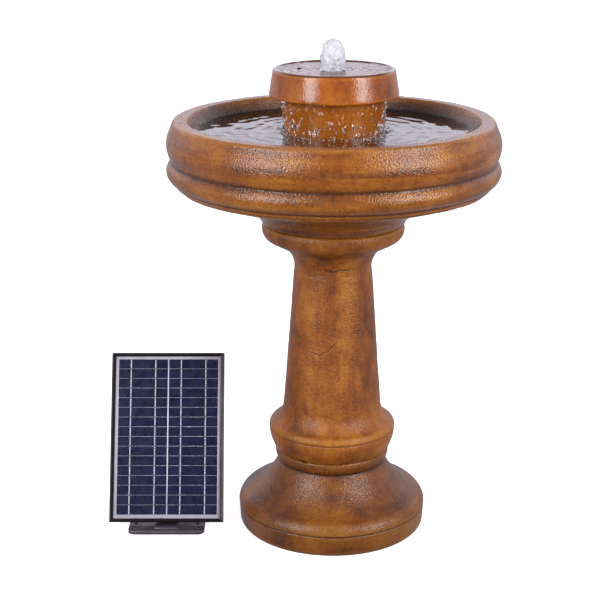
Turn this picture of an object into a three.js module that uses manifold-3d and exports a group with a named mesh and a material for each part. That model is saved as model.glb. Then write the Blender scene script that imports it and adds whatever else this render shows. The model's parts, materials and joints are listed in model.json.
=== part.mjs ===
// A cast-stone bird bath with a bubbling flowerpot fountain, and the free-standing solar panel that runs
// its pump. Millimetres, +Z up, the ground at Z = 0, the front at -Y. The origin is the centre of the
// whole set's footprint.
import * as THREE from 'three';
import { mergeVertices } from 'three/addons/utils/BufferGeometryUtils.js';
import Module from 'manifold-3d';

const wasm = await Module();
wasm.setup();

// ---- driving dimensions --------------------------------------------------------------------------------

const GAP = 0.3;                 // clearance between pieces that rest on each other
const RING_STEPS = 40;           // flat faces round the bowl and the head
const PEDESTAL_STEPS = 32;       // flat faces round the base and the column

const BATH_X = 51;               // the bath's axis
const PANEL_X = -213;            // the solar panel's middle

const BASE_R = 148.7;            // plinth
const BASE_TOP = 128;            // seam between the base and the column
const COLUMN_TOP = 494;          // seam between the column and the bowl
const BOWL_R = 252.6;            // widest point of the bowl's rim
const RIM_TOP = 653.5;
const BASIN_FLOOR = 558;
const HEAD_TOP = 729;            // lip of the fountain head
const HEAD_FLOOR = 716;          // floor of the dish in its top
const HEAD_ROOF = 700;           // underside of that floor
const NOZZLE_TOP = 745;
const PLUG_X = -52;              // the small plug in the dish, left of the nozzle
const INLET_HALF = 11;           // half the width of the head's water inlets
const INLET_H = 14;

const CABLE_HOLE_R = 8;          // through the bowl's middle
const NOTCH_HALF = 12;           // half the width of the cable's way out under the base
const NOTCH_H = 14;
const SEAT_R = 60;               // the bowl's spigot in the column's cup
const SPIGOT_R = 69;             // the base's spigot in the column's foot

const PUMP_Z = 582;              // the impeller's axis
const PUMP_W = 46;
const PUMP_H = 38;
const PUMP_FRONT = -8;
const PUMP_BACK = 36;
const SHAFT_R = 1.5;

const PANEL_W = 181;
const PANEL_H = 271;
const PANEL_D = 20;
const PANEL_LEAN = 26;           // degrees back from upright
const PANEL_Y = -63;             // the panel's lower front edge
const PANEL_Z = 18;
const FRAME_LIP = 6;
const FRAME_WALL = 2;
const HINGE_IN = 38;             // the hinge, behind the panel's face and above its lower edge
const HINGE_UP = 38;
const HINGE_R = 3;

const FOOT_W = 121;
const FOOT_FRONT = -71;
const FOOT_BACK = 17;
const FOOT_T = 6.5;
const LUG_HALF = 18;
const STAKE_HOLE_X = 49;         // the foot's four holes for ground stakes
const STAKE_HOLE_Y = [-62, -45];

// ---- finishes ------------------------------------------------------------------------------------------

const STONE = { color: 0xa9682f, roughness: 0.42, metalness: 0 };
const WET_STONE = { color: 0xa2571f, roughness: 0.25, metalness: 0 };
const BLACK_PLASTIC = { color: 0x1b1a1b, roughness: 0.45, metalness: 0 };
const BLACK_RUBBER = { color: 0x141414, roughness: 0.8, metalness: 0 };
const BLACK_FRAME = { color: 0x1d1718, roughness: 0.35, metalness: 0.6 };
const GLASS = { color: 0xdfe6ee, roughness: 0.05, metalness: 0, transparent: true, opacity: 0.35 };
const CELLS = { color: 0x10122a, roughness: 0.3, metalness: 0 };
const STEEL = { color: 0xb8babd, roughness: 0.3, metalness: 1 };
const CERAMIC = { color: 0xe9e6df, roughness: 0.35, metalness: 0 };
const MAGNET = { color: 0x2b2b2e, roughness: 0.6, metalness: 0.2 };

// ---- outlines ------------------------------------------------------------------------------------------

// Carries an outline on to (r, z) by a circular arc that stands `rise` proud of the straight way,
// outwards where it is positive and hollow where it is negative.
function arcTo(outline, r, z, rise, steps) {
  const [startR, startZ] = outline[outline.length - 1];
  const chord = Math.hypot(r - startR, z - startZ);
  const along = [(r - startR) / chord, (z - startZ) / chord];
  const height = Math.abs(rise);
  const halfTurn = 2 * Math.atan(height / (chord / 2));
  const radius = chord / 2 / Math.sin(halfTurn);
  for (let i = 1; i <= steps; i++) {
    const turn = halfTurn * ((2 * i) / steps - 1);
    const forward = chord / 2 + radius * Math.sin(turn);
    const proud = Math.sign(rise) * (radius * Math.cos(turn) - radius + height);
    outline.push([
      startR + along[0] * forward + along[1] * proud,
      startZ + along[1] * forward - along[0] * proud,
    ]);
  }
}

function roundedRect(width, height, corner) {
  const x = width / 2;
  const y = height / 2;
  const shape = new THREE.Shape();
  shape.moveTo(-x + corner, -y);
  shape.lineTo(x - corner, -y);
  shape.absarc(x - corner, -y + corner, corner, -Math.PI / 2, 0);
  shape.lineTo(x, y - corner);
  shape.absarc(x - corner, y - corner, corner, 0, Math.PI / 2);
  shape.lineTo(-x + corner, y);
  shape.absarc(-x + corner, y - corner, corner, Math.PI / 2, Math.PI);
  shape.lineTo(-x, -y + corner);
  shape.absarc(-x + corner, -y + corner, corner, Math.PI, Math.PI * 1.5);
  return shape;
}

function roundHole(shape, x, y, radius, sides = 12) {
  const corners = [];
  for (let i = 0; i < sides; i++) {
    const angle = (-i * Math.PI * 2) / sides;
    corners.push(new THREE.Vector2(x + radius * Math.cos(angle), y + radius * Math.sin(angle)));
  }
  shape.holes.push(new THREE.Path(corners));
}

function hexagon(acrossFlats) {
  const shape = new THREE.Shape();
  const corner = acrossFlats / Math.sqrt(3);
  for (let i = 0; i < 6; i++) {
    const angle = (i * Math.PI) / 3;
    shape[i ? 'lineTo' : 'moveTo'](corner * Math.cos(angle), corner * Math.sin(angle));
  }
  return shape;
}

// ---- solids --------------------------------------------------------------------------------------------

function lathe(outline, steps) {
  return new THREE.LatheGeometry(outline.map(([r, z]) => new THREE.Vector2(r, z)), steps);
}

// A ring turned about Z: the outline goes up its outside and down its inside.
function turnedRing(outline, steps) {
  const geometry = lathe([...outline, outline[0]], steps);
  geometry.rotateX(Math.PI / 2);
  return geometry;
}

// A plain tube or ring between two heights.
function tube(innerR, outerR, low, high, steps) {
  return turnedRing([[innerR, low], [outerR, low], [outerR, high], [innerR, high]], steps);
}

// Turned about Z, from the axis at the bottom to the axis at the top.
function turnedPin(outline, steps) {
  const geometry = lathe(outline, steps);
  geometry.rotateX(Math.PI / 2);
  return geometry;
}

function rod(radius, low, high, steps) {
  return turnedPin([[0, low], [radius, low], [radius, high], [0, high]], steps);
}

function layAlongY(geometry) {
  geometry.rotateX(-Math.PI / 2);
  return geometry;
}

function layAlongX(geometry) {
  geometry.rotateY(Math.PI / 2);
  return geometry;
}

function extrudeUp(shape, low, high, curveSegments = 2) {
  const geometry = new THREE.ExtrudeGeometry(shape, { depth: high - low, bevelEnabled: false, curveSegments });
  geometry.translate(0, 0, low);
  return geometry;
}

// The shape lies in X and Z, and is drawn out along Y.
function extrudeAlongY(shape, low, high, curveSegments = 2) {
  const geometry = extrudeUp(shape, 0, high - low, curveSegments);
  geometry.rotateX(Math.PI / 2);
  geometry.translate(0, high, 0);
  return geometry;
}

// The shape lies in Y and Z, and is drawn out along X.
function extrudeAlongX(shape, low, high, curveSegments = 2) {
  const geometry = extrudeUp(shape, low, high, curveSegments);
  const turn = new THREE.Matrix4();
  turn.makeBasis(new THREE.Vector3(0, 1, 0), new THREE.Vector3(0, 0, 1), new THREE.Vector3(1, 0, 0));
  geometry.applyMatrix4(turn);
  return geometry;
}

function block(x0, x1, y0, y1, z0, z1) {
  const geometry = new THREE.BoxGeometry(x1 - x0, y1 - y0, z1 - z0);
  geometry.translate((x0 + x1) / 2, (y0 + y1) / 2, (z0 + z1) / 2);
  return geometry;
}

// Gives each corner one shared vertex, and drops the flat triangles that a lathe leaves on its axis.
function weld(geometry) {
  const bare = new THREE.BufferGeometry();
  bare.setAttribute('position', geometry.getAttribute('position'));
  if (geometry.index) bare.setIndex(geometry.index);
  const merged = mergeVertices(bare, 1e-3);
  const corners = merged.index.array;
  const kept = [];
  for (let i = 0; i < corners.length; i += 3) {
    const [a, b, c] = [corners[i], corners[i + 1], corners[i + 2]];
    if (a !== b && b !== c && c !== a) kept.push(a, b, c);
  }
  merged.setIndex(kept);
  return merged;
}

// The library's own classes carry normals and split corners; what has none is welded already.
function toManifold(geometry) {
  const welded = geometry.getAttribute('normal') ? weld(geometry) : geometry;
  return new wasm.Manifold(new wasm.Mesh({
    numProp: 3,
    vertProperties: new Float32Array(welded.getAttribute('position').array),
    triVerts: new Uint32Array(welded.index.array),
  }));
}

function toGeometry(solid) {
  const mesh = solid.getMesh();
  const geometry = new THREE.BufferGeometry();
  geometry.setAttribute('position', new THREE.BufferAttribute(mesh.vertProperties, 3));
  geometry.setIndex(new THREE.BufferAttribute(mesh.triVerts, 1));
  return geometry;
}

function join(...pieces) {
  return toGeometry(pieces.map(toManifold).reduce((whole, piece) => whole.add(piece)));
}

function cut(piece, ...tools) {
  return toGeometry(tools.map(toManifold).reduce((left, tool) => left.subtract(tool), toManifold(piece)));
}

function addPart(parent, name, geometry, finish) {
  const part = new THREE.Mesh(geometry, new THREE.MeshStandardMaterial(finish));
  part.name = name;
  parent.add(part);
  return part;
}

// ---- pedestal ------------------------------------------------------------------------------------------

// Hollow foot: a round-edged plinth, a rolled shoulder, a bell and a bead, with a spigot on top and a
// notch at the back for the pump's cable.
function makeBase() {
  const outline = [[118, 0], [143.5, 0]];
  arcTo(outline, 147.6, 9, 1.3, 2);
  outline.push([BASE_R, 31.5], [BASE_R - 1.2, 33], [BASE_R + 0.8, 34.5]);
  arcTo(outline, 139.3, 51.4, 2.6, 3);
  arcTo(outline, 85.7, 106.5, -7.8, 5);
  outline.push([85.4, 107.6]);
  arcTo(outline, 89.4, 127.2, 2.2, 3);
  outline.push([88.6, BASE_TOP], [SPIGOT_R, BASE_TOP], [SPIGOT_R - 1, 138], [56, 138]);
  outline.push([62, 100]);
  arcTo(outline, 114, 44, 6, 3);
  outline.push([118, 26]);
  const notch = block(-NOTCH_HALF, NOTCH_HALF, 100, 160, -2, NOTCH_H);
  return cut(turnedRing(outline, PEDESTAL_STEPS), notch);
}

// Hollow column: a band and a torus at its foot, a tapering shaft, and a collar with a cup in its top.
function makeColumn() {
  const low = BASE_TOP + GAP;
  const cupR = SEAT_R + 2;
  const outline = [[SPIGOT_R + 2, low], [88.8, low], [91, low + 1.6]];
  arcTo(outline, 99.2, 156, 1.2, 3);
  outline.push([99.2, 160], [98.3, 161], [99.3, 162.2]);
  arcTo(outline, 92.5, 173.4, 2.5, 3);
  arcTo(outline, 76.6, 202, -4, 3);
  outline.push([75.2, 221], [60.6, 416]);
  arcTo(outline, 74, 455, -6, 4);
  outline.push([97.5, 467.4]);
  arcTo(outline, 108.4, COLUMN_TOP - 1.2, 5.6, 4);
  outline.push([107, COLUMN_TOP], [cupR, COLUMN_TOP], [cupR, 476], [40, 476], [40, 430], [52, 200]);
  outline.push([SPIGOT_R + 2, 144]);
  return turnedRing(outline, PEDESTAL_STEPS);
}

// ---- bowl ----------------------------------------------------------------------------------------------

// Basin with a flared underside, a stepped band, two rolls and a flat rim. Its foot is hollow, and a spigot
// sits in the column's cup.
function makeBowl() {
  const low = COLUMN_TOP + 0.5;
  const outline = [[SEAT_R - 14, 480], [SEAT_R, 480], [SEAT_R, low], [107.5, low]];
  outline.push([110.2, low + 1.6]);
  arcTo(outline, 122.7, 511.6, -1.2, 2);
  outline.push([141, 521.6], [167, 531.8], [231, 551.6]);
  outline.push([234.4, 552.8], [238.6, 556.4], [240.2, 562.4], [244.2, 563.4]);
  arcTo(outline, 248.4, 589.6, 6.2, 4);
  outline.push([246.9, 592.4], [247, 597]);
  arcTo(outline, 248.6, 634.8, 4.4, 5);
  outline.push([244.2, 644.2], [242.6, 649.2]);
  arcTo(outline, 237, RIM_TOP, 1.2, 2);
  outline.push([222.5, RIM_TOP], [220.4, 652.2]);
  outline.push([206.5, 626]);
  arcTo(outline, 164, BASIN_FLOOR, -13, 4);
  outline.push([CABLE_HOLE_R, BASIN_FLOOR], [CABLE_HOLE_R, 534], [SEAT_R - 14, 534]);
  return turnedRing(outline, RING_STEPS);
}

// Rubber bung for the bowl's cable hole, with the cable's own bore through it.
function makeStopper() {
  const outline = [[2.6, 538], [CABLE_HOLE_R - 0.6, 538], [CABLE_HOLE_R - GAP, BASIN_FLOOR + GAP]];
  outline.push([11, BASIN_FLOOR + GAP], [10.4, 561.3], [2.6, 561.3]);
  return turnedRing(outline, 16);
}

// ---- fountain head -------------------------------------------------------------------------------------

// A flowerpot shape, open below, with a dished top and water inlets cut in its bottom edge.
function makeHead() {
  const low = BASIN_FLOOR + GAP;
  const outline = [[57, low], [71, low], [72.3, low + 1.4], [78, 686]];
  outline.push([79, 687.8], [95.6, 687.8]);
  arcTo(outline, 97.2, 690.6, 0.6, 2);
  outline.push([92, 723.4]);
  arcTo(outline, 88.4, HEAD_TOP, 1, 2);
  outline.push([85.2, HEAD_TOP], [80.6, 718.4], [78, HEAD_FLOOR]);
  outline.push([10, HEAD_FLOOR], [10, HEAD_ROOF], [60, HEAD_ROOF], [62.5, 696]);
  const inletX = block(-90, 90, -INLET_HALF, INLET_HALF, low - 1, low + INLET_H);
  const inletY = block(-INLET_HALF, INLET_HALF, -90, 90, low - 1, low + INLET_H);
  const plugHole = rod(4.7, HEAD_ROOF - 5, HEAD_TOP, 16);
  plugHole.translate(PLUG_X, 0, 0);
  return cut(turnedRing(outline, RING_STEPS), inletX, inletY, plugHole);
}

function makeHeadPlug() {
  const seat = HEAD_FLOOR + GAP;
  const outline = [[0, HEAD_ROOF - 1], [3.8, HEAD_ROOF - 1], [4.3, HEAD_ROOF + 1], [4.3, seat]];
  outline.push([5.6, seat]);
  arcTo(outline, 0, seat + 2.6, 0.8, 3);
  const geometry = turnedPin(outline, 16);
  geometry.translate(PLUG_X, 0, 0);
  return geometry;
}

function makeNozzle() {
  const seat = HEAD_FLOOR + 2.1;
  const outline = [[3, 672], [4.6, 672], [4.6, 690], [9, 691], [9, seat], [15, seat], [15, seat + 2.6]];
  outline.push([9.4, seat + 4.6], [6.4, NOZZLE_TOP], [3, NOZZLE_TOP]);
  return turnedRing(outline, 20);
}

function makeLockNut() {
  const shape = hexagon(26);
  roundHole(shape, 0, 0, 9.4);
  return extrudeUp(shape, 692.5, HEAD_ROOF - GAP);
}

function addHead(bath) {
  addPart(bath, 'fountain_head', makeHead(), WET_STONE);
  addPart(bath, 'head_plug', makeHeadPlug(), BLACK_RUBBER);
  addPart(bath, 'nozzle', makeNozzle(), BLACK_PLASTIC);
  addPart(bath, 'nozzle_washer', tube(9.3, 16, HEAD_FLOOR + GAP, HEAD_FLOOR + 1.8, 16), BLACK_RUBBER);
  addPart(bath, 'nozzle_lock_nut', makeLockNut(), BLACK_PLASTIC);
}

// ---- pump: its own origin is on the impeller's axis, under the nozzle ------------------------------------

const CHAMBER_R = 15;
const ROTOR_BORE_R = 10.5;
const SEAL_R = 17.8;
const SOCKET_R = 7.4;
const BOSS_TOP = 30;

function makePumpHousing() {
  const body = extrudeAlongY(roundedRect(PUMP_W, PUMP_H, 6), PUMP_FRONT, PUMP_BACK);
  const ledge = PUMP_H / 2 + GAP;
  const boss = turnedPin([[0, 10], [7.9, 10], [7.9, ledge], [10.4, ledge], [10.4, BOSS_TOP], [0, BOSS_TOP]], 20);
  const sealSeat = layAlongY(rod(SEAL_R, PUMP_FRONT - 1, PUMP_FRONT + 2, 32));
  const chamber = layAlongY(rod(CHAMBER_R, PUMP_FRONT - 1, 5, 32));
  const rotorBore = layAlongY(rod(ROTOR_BORE_R, 0, 28, 24));
  const outlet = rod(4.6, 5, BOSS_TOP + 1, 16);
  const socket = rod(SOCKET_R, 17, BOSS_TOP + 1, 20);
  return cut(join(body, boss), sealSeat, chamber, rotorBore, outlet, socket);
}

function makeVoluteCover() {
  const shape = roundedRect(PUMP_W, PUMP_H, 6);
  roundHole(shape, 0, 0, 4.3);
  for (let i = 0; i < 4; i++) {
    const angle = Math.PI / 4 + (i * Math.PI) / 2;
    roundHole(shape, 8.6 * Math.cos(angle), 8.6 * Math.sin(angle), 2.6);
  }
  return extrudeAlongY(shape, PUMP_FRONT - 3.3, PUMP_FRONT - GAP);
}

function makeSealRing() {
  const outline = [];
  for (let i = 0; i < 6; i++) {
    const angle = (i * Math.PI) / 3;
    outline.push([SEAL_R - 1.2 + 0.8 * Math.cos(angle), PUMP_FRONT + 1 + 0.8 * Math.sin(angle)]);
  }
  return layAlongY(turnedRing(outline, 18));
}

// Magnet, shroud and four straight vanes moulded as one, bored for the fixed shaft.
function makeImpeller() {
  const magnet = layAlongY(rod(9.5, 4, 24.3, 20));
  const shroud = layAlongY(rod(12.5, 2.5, 4.5, 24));
  const hub = layAlongY(rod(3.6, -4, 3, 12));
  const vaneX = block(-12, 12, -4, 3, -0.8, 0.8);
  const vaneZ = block(-0.8, 0.8, -4, 3, -12, 12);
  const bore = layAlongY(rod(SHAFT_R + 0.1, -6, 26, 16));
  return cut(join(magnet, shroud, hub, vaneX, vaneZ), bore);
}

// Slotted shell in front of the impeller's inlet, with a hole for the dial's stem.
function makeStrainer() {
  const shell = extrudeAlongY(roundedRect(PUMP_W, PUMP_H, 6), -24, PUMP_FRONT - 3.6);
  const hollow = extrudeAlongY(roundedRect(PUMP_W - 4, PUMP_H - 4, 4), -22, PUMP_FRONT);
  const stemHole = layAlongY(rod(2.4, -26, -20, 12));
  const slots = [];
  for (const side of [-1, 1]) {
    for (const x of [9.5, 14, 18.5]) {
      slots.push(block(side * x - 1.2, side * x + 1.2, -26, -20, -10, 10));
    }
  }
  return cut(shell, hollow, stemHole, ...slots);
}

function makeFlowDial() {
  const disc = layAlongY(rod(6, -28, -24 - GAP, 20));
  const stem = layAlongY(rod(2, -26, -21, 12));
  const ridge = block(-5, 5, -29.4, -27, -0.8, 0.8);
  return join(disc, stem, ridge);
}

function makePumpFoot() {
  const low = BASIN_FLOOR + GAP - PUMP_Z;
  const high = -PUMP_H / 2 - GAP;
  return turnedPin([[0, low], [6.2, low], [3.2, low + 2.6], [3.2, high], [0, high]], 10);
}

function addPump(bath) {
  const pump = new THREE.Group();
  pump.position.z = PUMP_Z;
  bath.add(pump);
  addPart(pump, 'pump_housing', makePumpHousing(), BLACK_PLASTIC);
  addPart(pump, 'volute_cover', makeVoluteCover(), BLACK_PLASTIC);
  addPart(pump, 'seal_ring', makeSealRing(), BLACK_RUBBER);
  addPart(pump, 'impeller', makeImpeller(), MAGNET);
  addPart(pump, 'rotor_shaft', layAlongY(rod(SHAFT_R, PUMP_FRONT - 3, 27.6, 12)), CERAMIC);
  const bore = SHAFT_R + 0.1;
  addPart(pump, 'front_bush', layAlongY(tube(bore, 4, PUMP_FRONT - 3.3, PUMP_FRONT - 0.5, 16)), BLACK_RUBBER);
  addPart(pump, 'rear_bush', layAlongY(tube(bore, 10, 25, 27.7, 16)), BLACK_RUBBER);
  addPart(pump, 'strainer_cover', makeStrainer(), BLACK_PLASTIC);
  addPart(pump, 'flow_dial', makeFlowDial(), BLACK_PLASTIC);
  const riserTop = 688 - PUMP_Z;
  addPart(pump, 'riser_tube', tube(5.1, 7, 17 + GAP, riserTop, 20), BLACK_PLASTIC);
  const glandOutline = [[2.2, PUMP_BACK + GAP], [5.5, PUMP_BACK + GAP], [5.5, 40], [3.6, 47], [2.2, 47]];
  addPart(pump, 'pump_cable_gland', layAlongY(turnedRing(glandOutline, 16)), BLACK_RUBBER);
  let count = 0;
  for (const x of [-17.5, 17.5]) {
    for (const y of [-3, 28]) {
      count += 1;
      const foot = addPart(pump, `pump_foot_${count}`, makePumpFoot(), BLACK_RUBBER);
      foot.position.set(x, y, 0);
    }
  }
}

// ---- solar panel: its own origin is the middle of its lower front edge, Z up along its face -------------

// One length of channel along X, mitred at both ends. The section runs inwards and then back from the face.
function mitredBar(length) {
  const back = PANEL_D;
  const section = [
    [1, 0], [FRAME_LIP, 0], [FRAME_LIP, 1.6], [FRAME_WALL, 1.6], [FRAME_WALL, 7.2], [FRAME_LIP, 7.2],
    [FRAME_LIP, 8.8], [FRAME_WALL, 8.8], [FRAME_WALL, back - 1.6], [10, back - 1.6], [10, back],
    [0, back], [0, 1],
  ];
  const half = length / 2 - 0.25;
  const corners = [];
  for (const end of [-1, 1]) {
    for (const [inward, depth] of section) corners.push(end * (half - inward), depth, inward);
  }
  const faces = [];
  const count = section.length;
  for (let i = 0; i < count; i++) {
    const next = (i + 1) % count;
    faces.push(i, i + count, next + count, i, next + count, next);
  }
  const contour = section.map(([inward, depth]) => new THREE.Vector2(inward, depth));
  for (const [a, b, c] of THREE.ShapeUtils.triangulateShape(contour, [])) {
    faces.push(a, b, c, a + count, c + count, b + count);
  }
  const geometry = new THREE.BufferGeometry();
  geometry.setAttribute('position', new THREE.Float32BufferAttribute(corners, 3));
  geometry.setIndex(faces);
  return geometry;
}

const BRACKET_SCREW_X = 85.5;
const BRACKET_SCREW_Z = [32, 44];

// An upright side bar with the two holes that take the bracket's screws.
function makeSideBar(side) {
  const bar = mitredBar(PANEL_H);
  bar.rotateY((side * Math.PI) / -2);
  bar.translate((side * PANEL_W) / 2, 0, PANEL_H / 2);
  const holes = BRACKET_SCREW_Z.map((z) => {
    const hole = layAlongY(rod(2.3, 15, PANEL_D + 5, 12));
    hole.translate(side * BRACKET_SCREW_X, 0, z);
    return hole;
  });
  return cut(bar, ...holes);
}

function makeTopBar() {
  const bar = mitredBar(PANEL_W);
  bar.rotateY(Math.PI);
  bar.translate(0, 0, PANEL_H);
  return bar;
}

// Angle piece inside the frame's channel, drawn for the lower left corner.
function makeCornerKey() {
  const near = FRAME_WALL + GAP;
  const far = near + 5;
  const leg = 24;
  const shape = new THREE.Shape();
  shape.moveTo(near, near);
  shape.lineTo(leg, near);
  shape.lineTo(leg, far);
  shape.lineTo(far, far);
  shape.lineTo(far, leg);
  shape.lineTo(near, leg);
  return extrudeAlongY(shape, 9.1, PANEL_D - 1.9);
}

function addFrame(panel) {
  addPart(panel, 'frame_bottom', mitredBar(PANEL_W), BLACK_FRAME);
  addPart(panel, 'frame_top', makeTopBar(), BLACK_FRAME);
  addPart(panel, 'frame_left', makeSideBar(-1), BLACK_FRAME);
  addPart(panel, 'frame_right', makeSideBar(1), BLACK_FRAME);
  const corners = [[-1, 0], [1, 0], [1, 1], [-1, 1]];
  corners.forEach(([side, top], i) => {
    const key = addPart(panel, `corner_key_${i + 1}`, makeCornerKey(), BLACK_PLASTIC);
    key.rotation.y = (-i * Math.PI) / 2;
    key.position.set((side * PANEL_W) / 2, 0, top * PANEL_H);
  });
}

function addLaminate(panel) {
  const edge = FRAME_WALL + GAP;
  const x = PANEL_W / 2 - edge;
  addPart(panel, 'cover_glass', block(-x, x, 1.9, 4.9, edge, PANEL_H - edge), GLASS);
  addPart(panel, 'cell_laminate', block(-x, x, 5.2, 6.9, edge, PANEL_H - edge), CELLS);
}

const BOX_Z = 190;               // the junction box's middle
const BOX_W = 50;
const BOX_H = 40;
const BOX_BACK = 17;
const LID_SCREW_X = 21;
const LID_SCREW_Z = 16;

function lidScrewPlaces() {
  return [[-1, -1], [1, -1], [1, 1], [-1, 1]].map(([x, z]) => [x * LID_SCREW_X, BOX_Z + z * LID_SCREW_Z]);
}

function makeJunctionBox() {
  const outside = extrudeAlongY(roundedRect(BOX_W, BOX_H, 3), 7.2, BOX_BACK);
  outside.translate(0, 0, BOX_Z);
  const hollow = block(-16, 16, 9, BOX_BACK + 1, BOX_Z - 16, BOX_Z + 16);
  const cableHole = rod(3.3, BOX_Z - 25, BOX_Z - 12, 12);
  cableHole.translate(0, 12.6, 0);
  const screwHoles = lidScrewPlaces().map(([x, z]) => {
    const hole = layAlongY(rod(1.5, 9.5, BOX_BACK + 1, 8));
    hole.translate(x, 0, z);
    return hole;
  });
  return cut(outside, hollow, cableHole, ...screwHoles);
}

function makeBoxLid() {
  const shape = roundedRect(BOX_W, BOX_H, 3);
  for (const [x, z] of lidScrewPlaces()) roundHole(shape, x, z - BOX_Z, 1.7, 8);
  const lid = extrudeAlongY(shape, BOX_BACK + GAP, BOX_BACK + 2.3);
  lid.translate(0, 0, BOX_Z);
  return lid;
}

// A round-headed screw that points into the panel: its shank starts at `tip` and its head sits at `seat`.
function makeScrew(shankR, headR, tip, seat) {
  const outline = [[0, tip], [shankR, tip], [shankR, seat], [headR, seat], [headR, seat + headR * 0.3]];
  outline.push([headR * 0.75, seat + headR * 0.6], [0, seat + headR * 0.72]);
  return layAlongY(turnedPin(outline, 10));
}

function addJunctionBox(panel) {
  addPart(panel, 'junction_box', makeJunctionBox(), BLACK_PLASTIC);
  addPart(panel, 'junction_box_lid', makeBoxLid(), BLACK_PLASTIC);
  lidScrewPlaces().forEach(([x, z], i) => {
    const screw = addPart(panel, `lid_screw_${i + 1}`, makeScrew(1.2, 2.7, 11, BOX_BACK + 2.6), STEEL);
    screw.position.set(x, 0, z);
  });
  addPart(panel, 'terminal_block', block(-10, 10, 9.3, 14.5, BOX_Z - 3, BOX_Z + 5), CERAMIC);
  const low = BOX_Z - BOX_H / 2;
  const gland = [[1.9, low - 16], [3.4, low - 16], [4.6, low - GAP], [3, low - GAP], [3, low + 3.4], [1.9, low + 3.4]];
  addPart(panel, 'panel_cable_gland', turnedRing(gland, 12), BLACK_RUBBER).position.y = 12.6;
}

// ---- tilt bracket and stand ----------------------------------------------------------------------------

const RAIL_FRONT = PANEL_D + GAP;
const RAIL_BACK = RAIL_FRONT + 3;
const EAR_IN = LUG_HALF + 0.5;
const EAR_OUT = EAR_IN + 3;

function makeEar(low, high) {
  const shape = new THREE.Shape();
  shape.moveTo(RAIL_FRONT + 1, HINGE_UP - 11);
  shape.lineTo(HINGE_IN, HINGE_UP - 8);
  shape.absarc(HINGE_IN, HINGE_UP, 8, -Math.PI / 2, Math.PI / 2);
  shape.lineTo(RAIL_FRONT + 1, HINGE_UP + 11);
  roundHole(shape, HINGE_IN, HINGE_UP, HINGE_R + 0.4);
  return extrudeAlongX(shape, low, high, 3);
}

// A rail screwed across the frame's back, with two ears that straddle the stand's lug.
function makeTiltBracket() {
  const rail = block(-88, 88, RAIL_FRONT, RAIL_BACK, HINGE_UP - 12, HINGE_UP + 12);
  const whole = join(rail, makeEar(-EAR_OUT, -EAR_IN), makeEar(EAR_IN, EAR_OUT));
  const holes = [];
  for (const side of [-1, 1]) {
    for (const z of BRACKET_SCREW_Z) {
      const hole = layAlongY(rod(2.3, RAIL_FRONT - 2, RAIL_BACK + 2, 12));
      hole.translate(side * BRACKET_SCREW_X, 0, z);
      holes.push(hole);
    }
  }
  return cut(whole, ...holes);
}

function addTiltBracket(panel) {
  addPart(panel, 'tilt_bracket', makeTiltBracket(), BLACK_PLASTIC);
  let count = 0;
  for (const side of [-1, 1]) {
    for (const z of BRACKET_SCREW_Z) {
      count += 1;
      const screw = makeScrew(1.9, 3.8, 12, RAIL_BACK + GAP);
      addPart(panel, `bracket_screw_${count}`, screw, STEEL).position.set(side * BRACKET_SCREW_X, 0, z);
    }
  }
}

// The hinge's place in the row's frame, worked out from the panel's lean.
const LEAN = (PANEL_LEAN * Math.PI) / 180;
const HINGE_Y = PANEL_Y + HINGE_IN * Math.cos(LEAN) + HINGE_UP * Math.sin(LEAN);
const HINGE_Z = PANEL_Z - HINGE_IN * Math.sin(LEAN) + HINGE_UP * Math.cos(LEAN);

function makeFootPlate() {
  const bevel = 2;
  const edge = 2.5;
  const depth = FOOT_BACK - FOOT_FRONT;
  const shape = roundedRect(FOOT_W - 2 * edge, depth - 2 * edge, 8);
  const middle = (FOOT_FRONT + FOOT_BACK) / 2;
  for (const x of [-STAKE_HOLE_X, STAKE_HOLE_X]) {
    for (const y of STAKE_HOLE_Y) roundHole(shape, x, y - middle, 4.7, 10);
  }
  const plate = new THREE.ExtrudeGeometry(shape, {
    depth: FOOT_T - bevel, bevelThickness: bevel, bevelSize: edge, bevelSegments: 2, curveSegments: 2,
  });
  plate.translate(0, middle, 0);
  return cut(plate, block(-FOOT_W, FOOT_W, -200, 200, -10, 0));
}

// Lug that rises behind the panel's lower edge to the hinge.
function makeLug() {
  const lugR = 11;
  const under = 8.4;
  const shape = new THREE.Shape();
  const run = HINGE_Z - under;
  shape.moveTo(-65, 3);
  shape.lineTo(FOOT_BACK - 4, 3);
  shape.lineTo(FOOT_BACK - 6, under);
  shape.absarc(HINGE_Y, HINGE_Z, lugR, -Math.PI / 5, Math.PI - LEAN);
  shape.lineTo(HINGE_Y - lugR * Math.cos(LEAN) - run * Math.tan(LEAN) - 2, under);
  shape.lineTo(-62.5, under);
  roundHole(shape, HINGE_Y, HINGE_Z, HINGE_R + 0.4);
  return extrudeAlongX(shape, -LUG_HALF, LUG_HALF, 5);
}

function makeHingeBolt() {
  const head = extrudeUp(hexagon(10), -EAR_OUT - 6.3, -EAR_OUT - 2.1);
  const shank = rod(HINGE_R, -EAR_OUT - 3, 36, 16);
  return layAlongX(join(head, shank));
}

function makeWingNut() {
  const low = EAR_OUT + 2.1;
  const hub = turnedPin([[0, low], [6, low], [4.8, low + 7], [0, low + 7]], 16);
  const wing = new THREE.Shape();
  wing.moveTo(3, low + 1);
  wing.lineTo(9.5, low + 3.5);
  wing.absarc(11, low + 8.5, 3, -Math.PI / 3, Math.PI * 0.9);
  wing.lineTo(3, low + 6.5);
  const right = extrudeAlongY(wing, -1.1, 1.1, 4);
  const left = right.clone();
  left.rotateZ(Math.PI);
  const bore = rod(HINGE_R + 0.3, low - 1, low + 20, 16);
  return layAlongX(cut(join(hub, right, left), bore));
}

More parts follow.
